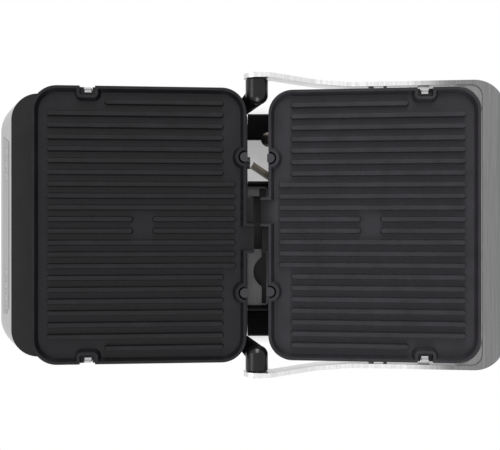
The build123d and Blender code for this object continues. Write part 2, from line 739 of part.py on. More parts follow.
def lid_housing():
    body = lid_ring(0, DECK_DROP, LID_SPLIT)
    body -= lid_ring(LID_WALL, DECK_DROP + LID_WALL, LID_SPLIT + 1)
    body -= pan_opening(2 * LID_WALL)
    for side in (-1, 1):
        wall = side * (LID_WIDTH / 2)
        body += rod(PIVOT_BOSS, wall, wall - side * PIVOT_BOSS_DEPTH, PIVOT_Y, -PIVOT_DEPTH)
        body -= rod(PIVOT_RADIUS + RUN_CLEAR, wall + side, wall - side * 12, PIVOT_Y, -PIVOT_DEPTH)
        body -= rod(STOP_RADIUS, wall + side, wall - side * 2 * LID_WALL, PIVOT_Y + STOP_OFFSET, -PIVOT_DEPTH)
    return UPPER_SEAT * body.fuse(*latch_ears())


def lid_dome(inset):
    """The pressed steel back of the lid, or its hollow when inset."""
    ring = slab(LID_WIDTH - 2 * inset, LID_INSET + inset, PLATE_DEPTH - LID_INSET - inset,
                LID_CORNER - inset, -LID_SPLIT)
    dome = extrude(ring, amount=LID_SPLIT - 2 * LID_FAR_DEPTH, taper=LID_TAPER)
    slope = degrees(atan2(LID_FAR_DEPTH - LID_NEAR_DEPTH, LID_LENGTH))
    under = Box(2 * LID_WIDTH, 4 * LID_LENGTH, 4 * LID_FAR_DEPTH, align=(Align.CENTER, Align.CENTER, Align.MAX))
    dome -= Pos(0, LID_INSET, inset - LID_NEAR_DEPTH) * Rot(-slope, 0, 0) * under
    back = dome.faces().sort_by(Axis.Z)[0]
    return chamfer(back.edges(), LID_ROUND - inset)


def lid_cover():
    return UPPER_SEAT * (lid_dome(0) - lid_dome(LID_SHEET))


def lid_stop_pins():
    pins = []
    for side in (-1, 1):
        inner = LID_WIDTH / 2 - LID_WALL
        pins.append(rod(STOP_RADIUS, side * inner, side * (ARM_FAR - 1), PIVOT_Y + STOP_OFFSET, -PIVOT_DEPTH))
    return UPPER_SEAT * Compound(pins)


# Wire conduit between base and lid


def conduit_ends():
    start = Vector(CONDUIT_BASE_X, -BASE_REAR, CONDUIT_HEIGHT)
    wall = UPPER_SEAT * Pos(CONDUIT_LID_X, LID_INSET, -PIVOT_DEPTH)
    return start, wall.position


def bushes():
    """The round bushes on the base's and the lid's facing walls."""
    start, end = conduit_ends()
    ring = Cylinder(BUSH_RADIUS, BUSH_THICK) - Cylinder(WIRES_RADIUS + 0.1, 2 * BUSH_THICK)
    base = Pos(start.X, start.Y + BUSH_THICK / 2, start.Z) * Rot(90, 0, 0) * ring
    lid = UPPER_SEAT * Pos(CONDUIT_LID_X, LID_INSET - BUSH_THICK / 2, -PIVOT_DEPTH) * Rot(90, 0, 0) * ring
    return base, lid


def conduit_run(radius):
    """A tube's start, direction and length where its square ends just clear the bushes."""
    start, end = conduit_ends()
    run = (end - start).normalized()
    lean = radius * sqrt(1 - run.Y**2)
    skip = (BUSH_THICK + lean) / run.Y + SEAT_CLEAR
    return start + run * skip, run, (end - start).length - 2 * skip


def biarc(p0, t0, p1, t1):
    """Two arcs that leave p0 along t0 and reach p1 along t1."""
    v = p1 - p0
    t = t0 + t1
    k = 2 * (1 - t0.dot(t1))
    d = (-v.dot(t) + sqrt(v.dot(t) ** 2 + k * v.dot(v))) / k
    q0 = p0 + t0 * d
    q1 = p1 - t1 * d
    middle = (q0 + q1) / 2
    turn = (q1 - q0).normalized()
    return [TangentArc(p0, middle, tangent=t0), TangentArc(middle, p1, tangent=turn)]


def spring_points(length):
    turns = int(length / SPRING_PITCH)
    rise = length / turns
    points = []
    for n in range(2 * turns + 1):
        a = pi * n
        place = Vector(SPRING_RADIUS * cos(a), SPRING_RADIUS * sin(a), rise * n / 2)
        along = Vector(-SPRING_RADIUS * sin(a), SPRING_RADIUS * cos(a), rise / (2 * pi)).normalized()
        points.append((place, along))
    print("conduit turns", turns, "gap between turns", round(rise - 2 * SPRING_WIRE, 3))
    return points


def wire_conduit():
    first, run, length = conduit_run(SPRING_RADIUS + SPRING_WIRE)
    points = spring_points(length)
    arcs = []
    for (p0, t0), (p1, t1) in zip(points, points[1:]):
        arcs += biarc(p0, t0, p1, t1)
    path = Wire([arc.edge() for arc in arcs])
    section = Plane(origin=points[0][0], z_dir=points[0][1]) * RegularPolygon(SPRING_WIRE, SPRING_SIDES)
    spring = sweep(section, path=path)
    return Plane(origin=first, z_dir=run).location * spring


def conduit_wires():
    first, run, length = conduit_run(WIRES_RADIUS)
    bundle = extrude(Circle(WIRES_RADIUS), amount=length)
    return Plane(origin=first, z_dir=run).location * bundle


def conduit_elbow():
    """The bent end of the conduit that turns into the lid's wall."""
    path = FilletPolyline(
        (ELBOW_X, LID_INSET, -PIVOT_DEPTH),
        (ELBOW_X, LID_INSET - ELBOW_REACH - ELBOW_BEND, -PIVOT_DEPTH),
        (ELBOW_X, LID_INSET - ELBOW_REACH - ELBOW_BEND, -PIVOT_DEPTH - ELBOW_BEND - ELBOW_DROP),
        radius=ELBOW_BEND,
    )
    start = Plane(origin=path @ 0, z_dir=path % 0)
    return UPPER_SEAT * sweep(start * RegularPolygon(ELBOW_RADIUS, ELBOW_SIDES), path=path)


# Write every node about the middle of the whole grill


def build():
    base_bush, lid_bush = bushes()
    nodes = {
        "base_shell": base_shell(),
        "base_bottom": base_bottom(),
        "front_panel": front_panel(),
        "control_inlay": control_inlay(),
        "control_board": control_board(),
        "power_board": power_board(),
        "rubber_feet": rubber_feet(),
        "base_screws": screws(screw_places(), BASE_BOTTOM),
        "hinge_pins": hinge_pins(),
        "tray_guide": tray_guide(),
        "drip_tray": drip_tray(),
        "cord_gland": cord_gland(),
        "handle_frame": handle_frame(),
        "pivot_pins": pivot_pins(),
        "lid_housing": lid_housing(),
        "lid_cover": lid_cover(),
        "lid_stop_pins": lid_stop_pins(),
        "base_conduit_bush": base_bush,
        "lid_conduit_bush": lid_bush,
        "wire_conduit": wire_conduit(),
        "conduit_wires": conduit_wires(),
        "conduit_elbow": conduit_elbow(),
    }
    for name, side in SIDES:
        nodes["rear_leg_" + name] = rear_leg(side)
        nodes["hinge_knuckle_" + name] = knuckle(side)
    ribbed = plate()
    for deck, seat, flip in (("lower", LOWER_SEAT, -1), ("upper", UPPER_SEAT, 1)):
        nodes[deck + "_plate"] = seat * ribbed
        nodes[deck + "_plate_posts"] = seat * plate_posts()
        nodes[deck + "_heater"] = seat * heater()
        nodes[deck + "_reflector"] = seat * reflector()
        nodes[deck + "_sensor"] = seat * sensor()
        nodes[deck + "_latch_pins"] = seat * latch_pins()
        for name, side in SIDES:
            nodes[deck + "_latch_" + name] = seat * latch(side * flip)
    for number, x in enumerate(button_places(), start=1):
        nodes["button_" + str(number)] = button(x)
    return nodes


def main():
    nodes = build()
    boxes = [node.bounding_box() for node in nodes.values()]
    front = min(box.min.Y for box in boxes)
    rear = max(box.max.Y for box in boxes)
    shift = -(front + rear) / 2
    print("hinge axis at y", round(shift, 4), "z", HINGE_HEIGHT)
    os.makedirs("parts", exist_ok=True)
    for name, node in nodes.items():
        export_step(Pos(0, shift, 0) * node, "parts/" + name + ".step")


main()
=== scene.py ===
import json
from math import asin, cos, pi, radians, sin

import bmesh
import bpy
from mathutils import Matrix, Vector


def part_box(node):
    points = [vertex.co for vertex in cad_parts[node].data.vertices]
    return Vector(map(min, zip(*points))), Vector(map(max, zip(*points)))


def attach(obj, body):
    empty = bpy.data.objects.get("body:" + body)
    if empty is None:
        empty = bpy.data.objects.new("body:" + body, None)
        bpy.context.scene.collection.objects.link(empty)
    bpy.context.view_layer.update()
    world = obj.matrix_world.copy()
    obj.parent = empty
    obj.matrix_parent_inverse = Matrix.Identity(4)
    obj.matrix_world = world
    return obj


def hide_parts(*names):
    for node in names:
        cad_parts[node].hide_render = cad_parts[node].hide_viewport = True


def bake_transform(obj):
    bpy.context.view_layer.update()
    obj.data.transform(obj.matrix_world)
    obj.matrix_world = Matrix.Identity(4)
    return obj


bl_info = {
    "name": "Contact Grill Finish",
    "version": (1, 0, 0),
    "blender": (4, 5, 0),
    "location": "View3D > Sidebar > Grill",
    "description": "Finishes the opened contact grill: coated plates, plastic, metal, conduit and key marks",
    "category": "Object",
}

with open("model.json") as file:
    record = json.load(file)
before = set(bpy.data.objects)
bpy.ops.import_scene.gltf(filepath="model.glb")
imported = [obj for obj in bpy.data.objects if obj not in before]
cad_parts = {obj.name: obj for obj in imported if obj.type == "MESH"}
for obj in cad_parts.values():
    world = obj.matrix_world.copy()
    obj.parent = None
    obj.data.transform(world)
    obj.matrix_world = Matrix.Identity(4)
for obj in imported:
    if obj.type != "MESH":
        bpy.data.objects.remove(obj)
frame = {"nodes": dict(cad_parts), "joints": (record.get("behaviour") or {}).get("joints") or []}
NODES = frame["nodes"]
JOINTS = {joint["name"]: joint for joint in frame["joints"]}
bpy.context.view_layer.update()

# The photograph's frame and the camera above it
IMAGE_WIDTH = 500
FOCAL_PIXELS = 800
SENSOR_MM = 36.0
CAMERA_HEIGHT = 0.9244
CAMERA_Y = 0.0059

# The hinge axis, and how the plates sit from it; angles are in degrees, lengths in metres
HINGE = Vector(JOINTS["frame_hinge"]["pos_m"])
LOWER_TILT = 4.97
UPPER_TILT = 6.43
PLATE_GAP = 0.0118
PLATE_OFFSET = 0.0072
DECK_DROP = 0.0143
BASE_REAR = HINGE.y - 0.010
SKIN = 0.0002

# Hinge barrels: a half round dome inside, a narrow bevel outside
KNUCKLE_RADIUS = 0.012
KNUCKLE_INNER = 0.128
KNUCKLE_OUTER = 0.1552
KNUCKLE_BEVEL = 0.001
DOME_DEPTH = 0.010
DOME_STEPS = 12
KNUCKLE_SIDES = 48

# Necks from the base's rear corners to the barrels
NECK_INSET = 0.006
NECK_REACH = 0.006
NECK_EDGE = 0.0012

# Spout guards and post bosses, in a plate's own frame
GUARD_LEFT = 0.0026
GUARD_RIGHT = 0.0306
GUARD_WALL = 0.0052
GUARD_REACH = 0.009
GUARD_CORNER = 0.003
GUARD_DEPTH = 0.009
BOSS_X = 0.072
BOSS_Y = 0.0015
BOSS_RADIUS = 0.0078
BOSS_FLAT = 0.0028
BOSS_DEPTH = 0.006
BOSS_STEPS = 16
SMALL_BEVEL = 0.0006

# Webs in the inner corners of the handle, in the arms' own frame
ARM_INNER = 0.1474
BAR_INNER = 0.2366
WEB_TOP = -0.0102
WEB_DEPTH = 0.020
WEB_SIZE = 0.030
WEB_LAP = 0.0003
WEB_STEPS = 12

# Painted shade on the handle: its metal's colour darkens from the arms to the broad bar, along Y
PAINTED_SHADE_START = 0.17
PAINTED_SHADE_END = 0.215
BAR_SHADE = 0.28
WEB_SHADE = 0.3

# Flanges of the tray guide and ledge of the tray
FLANGES = {"left": (-0.0495, -0.0465), "right": (0.0935, 0.0972)}
FLANGE_FRONT = BASE_REAR + SKIN
FLANGE_REAR = HINGE.y + 0.0138
FLANGE_TOP = 0.020
FLANGE_DEPTH = 0.008
LEDGE_X = (-0.0409, -0.0325)
LEDGE_Y = (HINGE.y - 0.012, HINGE.y + 0.0035)
LEDGE_TOP = 0.0256
LEDGE_DEPTH = 0.0096
GRIP_LEVEL = 0.0245

# Conduit between the bushes, and its bend under the lid in the upper plate's own frame
CONDUIT_SKIP = 0.0044
COIL_STEPS = 14
CORE_RADIUS = 0.0022
CORE_STEPS = 20
BEND_X = -0.095
BEND_WALL = 0.0049
BEND_LEVEL = -0.022
BEND_REACH = 0.0006
BEND_TURN = 0.0078
BEND_DROP = 0.005
BEND_RADIUS = 0.0072
BEND_SWELL = 0.05
BEND_SIDES = 28
BEND_STEPS = 22
DROP_STEPS = 8

# Marks on the keys; strokes are shares of the mark's size
MARK_SHAPES = ("plus", "minus", "ring", "up", "down", "minus", "ring")
MARK_THICK = 0.00006
MARK_SINK = 0.4
STROKE = 0.16
RING_STEPS = 24
RING_RADIUS = 0.45
RING_PIECE = (0.15, 0.14)
KEY_FACING = Vector((0, -0.88, 0.47))
KEY_LEVEL = 0.00002

# Grain of moulded and coated surfaces: scale, depth and strength
MOULD_GRAIN = (1500, 0.00005, 0.3)
POST_GRAIN = (1200, 0.00003, 0.2)
RUBBER_GRAIN = (1100, 0.00008, 0.4)
BARREL_GRAIN = (900, 0.00002, 0.1)
PRINT_GRAIN = (900, 0.00001, 0.1)
BOARD_GRAIN = (700, 0.00004, 0.2)
BOARD_GREEN = (0.03, 0.14, 0.06)
ROUGH_BELOW = 0.04
ROUGH_ABOVE = 0.05

# Stage: floor, world and lamps
FLOOR_SIZE = 6.0
FLOOR_DROP = 0.0005
FLOOR_GLOW = 1.0
GAP_GLOW = 0.3
GAP_LIMITS = (0.125, 0.06)
GAP_FADE = 1.1
WORLD_LIGHT = 0.16
LAMP_AIM = (0, 0, 0.05)


# Sizes and colours that a user would change


class GrillSizes(bpy.types.PropertyGroup):
    plate_edge: bpy.props.FloatProperty(
        name="Plate edge", description="Rounding of the ribs and rim of the plates",
        default=0.0007, unit="LENGTH")
    case_edge: bpy.props.FloatProperty(
        name="Case edge", description="Rounding of the handle",
        default=0.0012, unit="LENGTH")
    small_edge: bpy.props.FloatProperty(
        name="Small edge", description="Rounding of the tray, its guide, the pins and the panel",
        default=0.0004, unit="LENGTH")
    spring_radius: bpy.props.FloatProperty(
        name="Conduit radius", description="Middle radius of the conduit's coils",
        default=0.0036, unit="LENGTH")
    spring_wire: bpy.props.FloatProperty(
        name="Conduit wire", description="Radius of the wire that the conduit is wound from",
        default=0.00072, unit="LENGTH")
    spring_pitch: bpy.props.FloatProperty(
        name="Conduit pitch", description="Distance from coil to coil",
        default=0.00175, unit="LENGTH")
    mark_size: bpy.props.FloatProperty(
        name="Key mark", description="Height of the plain mark on each key",
        default=0.0026, unit="LENGTH")


def colour(name, description, value):
    return bpy.props.FloatVectorProperty(
        name=name, description=description, subtype="COLOR", size=3, min=0.0, max=1.0, default=value)


class GrillColours(bpy.types.PropertyGroup):
    coating: colour("Lower coating", "Dark non-stick coating of the lower plate", (0.0055, 0.005, 0.0065))
    # Painted sheen: the upper coating is the lower one made lighter, for the light that the upper plate
    # catches.
    upper_coating_painted_sheen: colour("Upper coating", "Coating of the upper plate, which catches more light",
                          (0.022, 0.0205, 0.0245))
    plastic: colour("Black plastic", "Moulded housings, hinges and legs", (0.0035, 0.0035, 0.0038))
    deck: colour("Grey plastic", "Finger grip and ledge of the drip tray", (0.115, 0.115, 0.12))
    panel: colour("Panel metal", "Brushed skin over the sloping front", (0.40, 0.395, 0.40))
    handle: colour("Handle metal", "Brushed handle frame", (0.72, 0.72, 0.72))
    steel: colour("Plain steel", "Latches, pins and the lid's back", (0.52, 0.52, 0.53))
    spring: colour("Conduit wire", "Warm grey wire of the conduit", (0.19, 0.17, 0.14))
    mark: colour("Key marks", "Pale print on the keys", (0.10, 0.10, 0.11))


def shade(base, share):
    """The colour made darker or lighter."""
    return [part * share for part in base]


# Shader nodes


def new_material(name):
    made = bpy.data.materials.new(name)
    made.use_nodes = True
    return made, made.node_tree.nodes, made.node_tree.links


def maths(nodes, links, operation, *values):
    """A maths node fed by sockets or plain numbers."""
    made = nodes.new("ShaderNodeMath")
    made.operation = operation
    for socket, value in zip(made.inputs, values):
        if isinstance(value, (int, float)):
            socket.default_value = value
        else:
            links.new(value, socket)
    return made.outputs[0]


def place_along(nodes, links, axis):
    """The place on the object along one axis."""
    place = nodes.new("ShaderNodeTexCoord")
    split = nodes.new("ShaderNodeSeparateXYZ")
    links.new(place.outputs["Object"], split.inputs[0])
    return split.outputs[axis]


def noise(nodes, links, scale, detail, stretch=(1, 1, 1)):
    """A noise texture fixed to the object, stretched along an axis by small factors."""
    place = nodes.new("ShaderNodeTexCoord")
    mapping = nodes.new("ShaderNodeMapping")
    mapping.inputs["Scale"].default_value = stretch
    texture = nodes.new("ShaderNodeTexNoise")
    texture.inputs["Scale"].default_value = scale
    texture.inputs["Detail"].default_value = detail
    links.new(place.outputs["Object"], mapping.inputs["Vector"])
    links.new(mapping.outputs["Vector"], texture.inputs["Vector"])
    return texture.outputs["Fac"]


def spread(nodes, links, source, low, high, span=(0.3, 0.7)):
    """A value within span brought between low and high."""
    ramp = nodes.new("ShaderNodeMapRange")
    ramp.inputs["From Min"].default_value = span[0]
    ramp.inputs["From Max"].default_value = span[1]
    ramp.inputs["To Min"].default_value = low
    ramp.inputs["To Max"].default_value = high
    links.new(source, ramp.inputs["Value"])
    return ramp.outputs["Result"]


def tinted(nodes, links, source, base, low, high):
    """The base colour made darker and lighter by a noise value."""
    mix = nodes.new("ShaderNodeMix")
    mix.data_type = "RGBA"
    mix.inputs["A"].default_value = shade(base, low) + [1]
    mix.inputs["B"].default_value = [min(1, part) for part in shade(base, high)] + [1]
    links.new(spread(nodes, links, source, 0, 1), mix.inputs["Factor"])
    return mix.outputs["Result"]


def bump(nodes, links, source, strength, depth):
    made = nodes.new("ShaderNodeBump")
    made.inputs["Strength"].default_value = strength
    made.inputs["Distance"].default_value = depth
    links.new(source, made.inputs["Height"])
    return made.outputs["Normal"]


# Materials


def grained(name, base, rough, grain=MOULD_GRAIN, specular=0.5):
    """Moulded or coated surface: fine grain in the normal, soft patches in colour and gloss."""
    made, nodes, links = new_material(name)
    shader = nodes["Principled BSDF"]
    scale, depth, strength = grain
    fine = noise(nodes, links, scale, 2)
    patches = noise(nodes, links, 45, 3)
    links.new(tinted(nodes, links, patches, base, 0.85, 1.2), shader.inputs["Base Color"])
    gloss = spread(nodes, links, patches, rough - ROUGH_BELOW, rough + ROUGH_ABOVE)
    links.new(gloss, shader.inputs["Roughness"])
    links.new(bump(nodes, links, fine, strength, depth), shader.inputs["Normal"])
    shader.inputs["Specular IOR Level"].default_value = specular
    return made


def grey_over_painted_shade(name, below, above, level):
    """Moulded plastic that is darker below a height, as painted shade, and its own lighter colour above it.
    """
    made = grained(name, above, 0.5)
    nodes, links = made.node_tree.nodes, made.node_tree.links
    base = nodes["Principled BSDF"].inputs["Base Color"]
    lighter = base.links[0].from_socket
    mix = nodes.new("ShaderNodeMix")
    mix.data_type = "RGBA"
    mix.inputs["A"].default_value = (*below, 1)
    raised = maths(nodes, links, "GREATER_THAN", place_along(nodes, links, "Z"), level)
    links.new(raised, mix.inputs["Factor"])
    links.new(lighter, mix.inputs["B"])
    links.new(mix.outputs["Result"], base)
    return made


def brushed(name, base, rough, along, strength=0.1):
    """Metal brushed along one axis: long fine lines in gloss, colour and normal."""
    made, nodes, links = new_material(name)
    shader = nodes["Principled BSDF"]
    stretch = [1.0, 1.0, 1.0]
    stretch["XYZ".index(along)] = 0.02
    hair = noise(nodes, links, 900, 3, stretch)
    soft = noise(nodes, links, 18, 2)
    links.new(tinted(nodes, links, hair, base, 0.9, 1.08), shader.inputs["Base Color"])
    gloss = spread(nodes, links, hair, rough - ROUGH_BELOW, rough + ROUGH_ABOVE)
    links.new(gloss, shader.inputs["Roughness"])
    links.new(bump(nodes, links, hair, strength, 0.00004), shader.inputs["Normal"])
    links.new(spread(nodes, links, soft, 0.0, 0.06), shader.inputs["Coat Weight"])
    shader.inputs["Metallic"].default_value = 1.0
    return made


def painted_shade_along_y(made, least):
    """The handle's colour darkened along Y towards its broad bar: painted shade."""
    nodes, links = made.node_tree.nodes, made.node_tree.links
    base = nodes["Principled BSDF"].inputs["Base Color"]
    plain = base.links[0].from_socket
    level = spread(nodes, links, place_along(nodes, links, "Y"), 1, least, (PAINTED_SHADE_START, PAINTED_SHADE_END))
    scale = nodes.new("ShaderNodeVectorMath")
    scale.operation = "SCALE"
    links.new(plain, scale.inputs[0])
    links.new(level, scale.inputs["Scale"])
    links.new(scale.outputs[0], base)
    return made


def give(material, *names):
    """The material goes on these CAD nodes."""
    for name in names:
        mesh = NODES[name].data
        mesh.materials.clear()
        mesh.materials.append(material)


# Edges and smoothing


def smooth_faces(obj, angle=32):
    """Smooth shading, with edges sharper than the angle kept crisp."""
    obj.data.shade_smooth()
    obj.data.set_sharp_from_angle(angle=radians(angle))


def rounded(obj, width, segments=2):
    """A narrow rounding on the sharp edges of a piece."""
    made = obj.modifiers.new("edge", "BEVEL")
    made.width = width
    made.segments = segments
    return made


def soften(width, *names, angle=28):
    """A narrow rounding on the edges of these CAD nodes."""
    for name in names:
        made = rounded(NODES[name], width)
        made.limit_method = "ANGLE"
        made.angle_limit = radians(angle)
        made.harden_normals = False
        smooth_faces(NODES[name])


# Meshes for the scene's own pieces


def linked(name, data):
    obj = bpy.data.objects.new(name, data)
    bpy.context.scene.collection.objects.link(obj)
    return obj


def filled(name, mesh, material):
    """A scene piece from a closed bmesh."""
    data = bpy.data.meshes.new(name)
    bmesh.ops.recalc_face_normals(mesh, faces=mesh.faces)
    mesh.to_mesh(data)
    mesh.free()
    data.materials.append(material)
    return linked(name, data)


def new_piece(name, mesh, material, body):
    """A scene piece from a closed bmesh, riding on a body."""
    obj = filled(name, mesh, material)
    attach(obj, body)
    return obj


def loft(mesh, near, far):
    """A closed form between two outlines of as many points."""
    near = [mesh.verts.new(point) for point in near]
    far = [mesh.verts.new(point) for point in far]
    mesh.faces.new(near)
    mesh.faces.new(list(reversed(far)))
    for n in range(len(near)):
        m = (n + 1) % len(near)
        mesh.faces.new((near[m], near[n], far[n], far[m]))


def prism(mesh, outline, depth):
    """A straight prism from a flat outline, pushed along depth."""
    loft(mesh, outline, [Vector(point) + Vector(depth) for point in outline])


def block(mesh, xs, ys, top, depth):
    """A box between two places along X and two along Y, from its top down."""
    outline = [(xs[0], ys[0], top), (xs[1], ys[0], top), (xs[1], ys[1], top), (xs[0], ys[1], top)]
    prism(mesh, outline, (0, 0, -depth))


def circle(mesh, centre, across, up, radius, steps):
    """A ring of points about a centre, in the plane of two directions."""
    turns = [2 * pi * n / steps for n in range(steps)]
    return [mesh.verts.new(centre + radius * (across * cos(a) + up * sin(a))) for a in turns]


def tube(mesh, rings):
    """A closed skin over a row of rings."""
    for near, far in zip(rings, rings[1:]):
        for n in range(len(near)):
            m = (n + 1) % len(near)
            mesh.faces.new((near[n], near[m], far[m], far[n]))
    mesh.faces.new(rings[0])
    mesh.faces.new(list(reversed(rings[-1])))


def lower_seat():
    """The lower plate's own frame: the middle of its hinge edge, facing back to the hinge."""
    return (Matrix.Translation(HINGE) @ Matrix.Rotation(radians(-LOWER_TILT), 4, "X")
            @ Matrix.Rotation(pi, 4, "Z") @ Matrix.Translation((0, PLATE_GAP, PLATE_OFFSET)))


def arm_seat():
    """The frame of the handle's arms at rest, from the hinge axis."""
    return Matrix.Translation(HINGE) @ Matrix.Rotation(radians(UPPER_TILT), 4, "X")


def upper_seat():
    """The upper plate's own frame, at rest."""
    return arm_seat() @ Matrix.Translation((0, PLATE_GAP, -PLATE_OFFSET))


def seated_prism(mesh, seat, outline, depth):
    """A prism from an outline in a seat's own frame, down through that seat."""
    prism(mesh, [seat @ Vector(point) for point in outline], seat.to_3x3() @ Vector((0, 0, -depth)))


# Operators, one for each group of like pieces


class GRILL_OT_plates(bpy.types.Operator):
    """Coat the ribbed plates and their posts"""
    bl_idname = "grill.plates"
    bl_label = "Plates"

    def execute(self, context):
        colours = context.scene.grill_colours
        # The upper plate's coating is a lighter copy of the lower one: painted sheen.
        for deck, base in (("lower", colours.coating), ("upper", colours.upper_coating_painted_sheen)):
            give(grained(deck + " plate coating", base, 0.34, specular=0.26), deck + "_plate")
        post = grained("post metal", shade(colours.coating, 3), 0.34, POST_GRAIN)
        give(post, "lower_plate_posts", "upper_plate_posts")
        return {"FINISHED"}


class GRILL_OT_housings(bpy.types.Operator):
    """Give the base, lid, legs, tray and bushes their moulded plastic and rubber"""
    bl_idname = "grill.housings"
    bl_label = "Housings"

    def execute(self, context):
        colours = context.scene.grill_colours
        plastic = grained("black plastic", colours.plastic, 0.42, specular=0.25)
        give(plastic, "base_shell", "lid_housing", "base_conduit_bush", "lid_conduit_bush")
        # The grey above the grip level is the tray's own plastic; below it the tub is painted near black,
        # painted shade in the deep tub.
        tray = grey_over_painted_shade("tray plastic", shade(colours.plastic, 0.3), colours.deck, GRIP_LEVEL)
        give(tray, "drip_tray")
        # Painted shade: the rear legs, tray guide and bottom get a darker, duller copy of the black plastic
        # for the shadow they sit in.
        shaded = grained("rear leg plastic", shade(colours.plastic, 0.5), 0.6, specular=0.05)
        give(shaded, "rear_leg_left", "rear_leg_right", "tray_guide", "base_bottom")
        rubber = grained("rubber", shade(colours.plastic, 0.7), 0.75, RUBBER_GRAIN)
        give(rubber, "rubber_feet", "cord_gland", "conduit_wires")
        return {"FINISHED"}


class GRILL_OT_metal(bpy.types.Operator):
    """Finish the panel, keys, handle, lid back, latches, pins and inner parts"""
    bl_idname = "grill.metal"
    bl_label = "Metal"

    def execute(self, context):
        colours = context.scene.grill_colours
        give(brushed("panel metal", colours.panel, 0.33, "X"), "front_panel")
        give(brushed("inlay metal", shade(colours.panel, 0.86), 0.40, "X"), "control_inlay")
        keys = ["button_" + str(number) for number in range(1, len(MARK_SHAPES) + 1)]
        give(brushed("key metal", shade(colours.panel, 0.84), 0.38, "X"), *keys)
        # Painted shade: the handle's colour darkens towards its broad bar.
        give(painted_shade_along_y(brushed("handle metal", colours.handle, 0.30, "X"), BAR_SHADE), "handle_frame")
        give(brushed("lid steel", colours.steel, 0.28, "X"), "lid_cover")
        plain = brushed("plain steel", colours.steel, 0.25, "Z", 0.06)
        give(plain, "lower_latch_left", "lower_latch_right", "upper_latch_left", "upper_latch_right",
             "hinge_pins", "pivot_pins", "lid_stop_pins", "lower_latch_pins", "upper_latch_pins",
             "base_screws", "lower_sensor", "upper_sensor")
        sheet = brushed("sheet aluminium", colours.steel, 0.45, "X")
        give(sheet, "lower_reflector", "upper_reflector")
        sheath = brushed("heater sheath", shade(colours.steel, 0.5), 0.5, "Y", 0.2)
        give(sheath, "lower_heater", "upper_heater")
        give(grained("circuit board", BOARD_GREEN, 0.45, BOARD_GRAIN), "control_board", "power_board")
        return {"FINISHED"}


class GRILL_OT_edges(bpy.types.Operator):
    """Round the edges of the CAD pieces"""
    bl_idname = "grill.edges"
    bl_label = "Edges"

    def execute(self, context):
        sizes = context.scene.grill_sizes
        soften(sizes.plate_edge, "lower_plate", "upper_plate")
        soften(sizes.case_edge, "handle_frame")
        soften(sizes.small_edge, "drip_tray", "tray_guide", "hinge_pins", "pivot_pins", "front_panel")
        for name in ("lid_cover", "base_shell"):
            smooth_faces(NODES[name])
        return {"FINISHED"}


def barrel_form(mesh, side):
    """A hinge barrel turned about the hinge axis, domed at its inner end."""
    profile = []
    for n in range(1, DOME_STEPS + 1):
        a = pi / 2 * n / DOME_STEPS
        profile.append((KNUCKLE_INNER + DOME_DEPTH * (1 - cos(a)), KNUCKLE_RADIUS * sin(a)))
    profile.append((KNUCKLE_OUTER - KNUCKLE_BEVEL, KNUCKLE_RADIUS))
    profile.append((KNUCKLE_OUTER, KNUCKLE_RADIUS - KNUCKLE_BEVEL))
    across, up = Vector((0, 1, 0)), Vector((0, 0, 1))
    rings = []
    for x, radius in profile:
        rings.append(circle(mesh, HINGE + Vector((side * x, 0, 0)), across, up, radius, KNUCKLE_SIDES))
    tube(mesh, rings)


def neck_form(mesh, side):
    """The web between the base's round rear corner and a barrel."""
    # Each row is a corner: place along X and Y, and how far its foot and its top lie under the axis
    rows = (
        (KNUCKLE_INNER - NECK_INSET, BASE_REAR - 0.0012, 0.034, 0.0095),
        (KNUCKLE_INNER + 0.002, HINGE.y + NECK_REACH, 0.006, -0.002),
        (KNUCKLE_OUTER - 0.008, HINGE.y + NECK_REACH, 0.006, -0.002),
        (KNUCKLE_OUTER - 0.010, HINGE.y - 0.009, 0.016, 0.0035),
        (KNUCKLE_INNER + 0.004, BASE_REAR - 0.0105, 0.034, 0.0125),
    )
    foot = [(side * x, y, HINGE.z - under) for x, y, under, over in rows]
    top = [(side * x, y, HINGE.z - over) for x, y, under, over in rows]
    loft(mesh, foot, top)
    bmesh.ops.triangulate(mesh, faces=mesh.faces)


class GRILL_OT_knuckles(bpy.types.Operator):
    """Form the domed hinge barrels with their slanting necks"""
    bl_idname = "grill.knuckles"
    bl_label = "Hinge knuckles"

    def execute(self, context):
        plastic = context.scene.grill_colours.plastic
        gloss = grained("hinge barrel", plastic, 0.24, BARREL_GRAIN, specular=0.3)
        for name, side in (("left", -1), ("right", 1)):
            mesh = bmesh.new()
            barrel_form(mesh, side)
            barrel = new_piece("hinge_barrel_" + name, mesh, gloss, "base")
            smooth_faces(barrel, 40)
            mesh = bmesh.new()
            neck_form(mesh, side)
            neck = new_piece("hinge_neck_" + name, mesh, gloss, "base")
            rounded(neck, NECK_EDGE, 3)
            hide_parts("hinge_knuckle_" + name)
        return {"FINISHED"}


def guard_outline():
    """A box with two round corners, from the housing's wall out beside the spout."""
    front = GUARD_CORNER - GUARD_REACH
    turns = [pi / 8 * n for n in range(5)]
    points = [(GUARD_LEFT, GUARD_WALL), (GUARD_LEFT, front)]
    points += [(GUARD_LEFT + GUARD_CORNER * (1 - cos(a)), front - GUARD_CORNER * sin(a)) for a in turns[1:]]
    points += [(GUARD_RIGHT - GUARD_CORNER * (1 - sin(a)), front - GUARD_CORNER * cos(a)) for a in turns]
    points.append((GUARD_RIGHT, GUARD_WALL))
    return [(x, y, -DECK_DROP - SKIN) for x, y in points]


def boss_outline(x):
    """The flat sided round boss that a post stands on."""
    start = -asin(BOSS_FLAT / BOSS_RADIUS)
    turns = [start + (pi - 2 * start) * n / BOSS_STEPS for n in range(BOSS_STEPS + 1)]
    return [(x + BOSS_RADIUS * cos(a), BOSS_Y + BOSS_RADIUS * sin(a), -DECK_DROP - SKIN) for a in turns]


